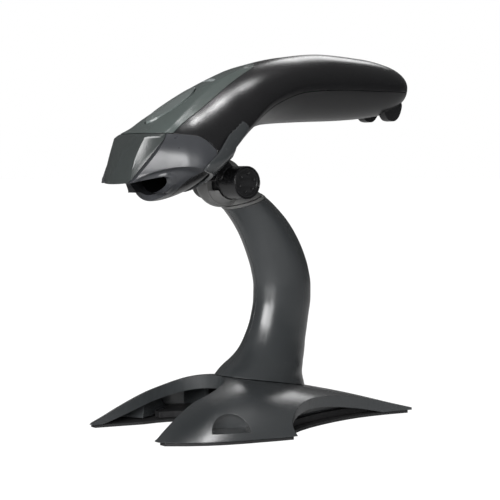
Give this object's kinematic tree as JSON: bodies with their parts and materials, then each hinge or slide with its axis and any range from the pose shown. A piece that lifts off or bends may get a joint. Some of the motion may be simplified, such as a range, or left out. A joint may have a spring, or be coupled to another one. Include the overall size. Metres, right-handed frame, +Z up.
{
  "type": "handheld barcode scanner",
  "caption": "Handheld laser barcode scanner lying in the tilting cradle of a presentation stand with a curved neck and a two-pronged, notched base.",
  "frame": {"origin": "on the table, at the middle of the stand's rubber pad under the neck", "axes": "+Z up, -Y the way the scanner's nose points, +X across it"},
  "size_m": [0.1154, 0.1892, 0.1895],
  "materials": {
    "black_shell": "satin black moulding",
    "cover_grey": "semi-gloss moulding",
    "nose_grey": "semi-gloss moulding",
    "visor_grey": "semi-gloss moulding",
    "stand_grey": "semi-gloss, finely textured",
    "light_grey": "satin",
    "button_grey": "semi-gloss",
    "cast_dark": "painted casting",
    "rubber": "matt",
    "steel": "bright",
    "window": "polished dark window",
    "lens": "polished",
    "board": "circuit board",
    "brass": "plain",
    "mirror": "polished",
    "dark_plastic": "satin"
  },
  "bodies": {
    "stand": {"base_pad": "rubber", "base_shell": "stand_grey", "weight_plate": "cast_dark", "plate_screw_1": "steel", "plate_screw_2": "steel", "plate_screw_3": "steel", "plate_screw_4": "steel", "neck_half_left": "stand_grey", "neck_half_right": "stand_grey", "neck_collar": "light_grey", "knuckle_far_housing": "light_grey", "knuckle_near_housing": "light_grey"},
    "cradle": {"cradle": "stand_grey", "cradle_arm": "black_shell", "cradle_screw_1": "steel", "cradle_screw_2": "steel", "tilt_pin": "steel", "pivot_cap_left": "black_shell", "pivot_cap_right": "black_shell", "spring_washer_left": "steel", "spring_washer_right": "steel"},
    "scanner": {"handle_upper_shell": "black_shell", "handle_lower_shell": "black_shell", "top_cover": "cover_grey", "nose_bezel": "nose_grey", "visor": "visor_grey", "scan_window": "window", "indicator_lens": "lens", "cable_socket": "dark_plastic", "main_board": "board", "decoder_chip": "dark_plastic", "beeper": "dark_plastic", "switch_board": "board", "trigger_switch": "dark_plastic", "housing_screw_1": "steel", "housing_screw_2": "steel", "optics_chassis": "dark_plastic", "laser_module": "brass", "mirror_coil": "brass", "collector_mirror": "mirror", "photodetector": "dark_plastic"},
    "button": {"trigger_button": "button_grey"},
    "mirror": {"scan_mirror": "mirror", "mirror_shaft": "steel"}
  },
  "joints": [
    {"name": "cradle_tilt", "type": "hinge", "parent": "stand", "child": "cradle", "pos_m": [0, -0.0189, 0.1222], "axis": [1, 0, 0], "range_deg": [-25, 15]},
    {"name": "scanner_lift", "type": "slide", "parent": "cradle", "child": "scanner", "axis": [0, 0, 1], "range_m": [0, 0.1]},
    {"name": "trigger_press", "type": "slide", "parent": "scanner", "child": "button", "axis": [0, 0.5151, -0.8571], "range_m": [0, 0.0007]},
    {"name": "mirror_scan", "type": "hinge", "parent": "scanner", "child": "mirror", "pos_m": [0, -0.05, 0.131], "axis": [0, 0, 1], "range_deg": [-10, 10]}
  ]
}
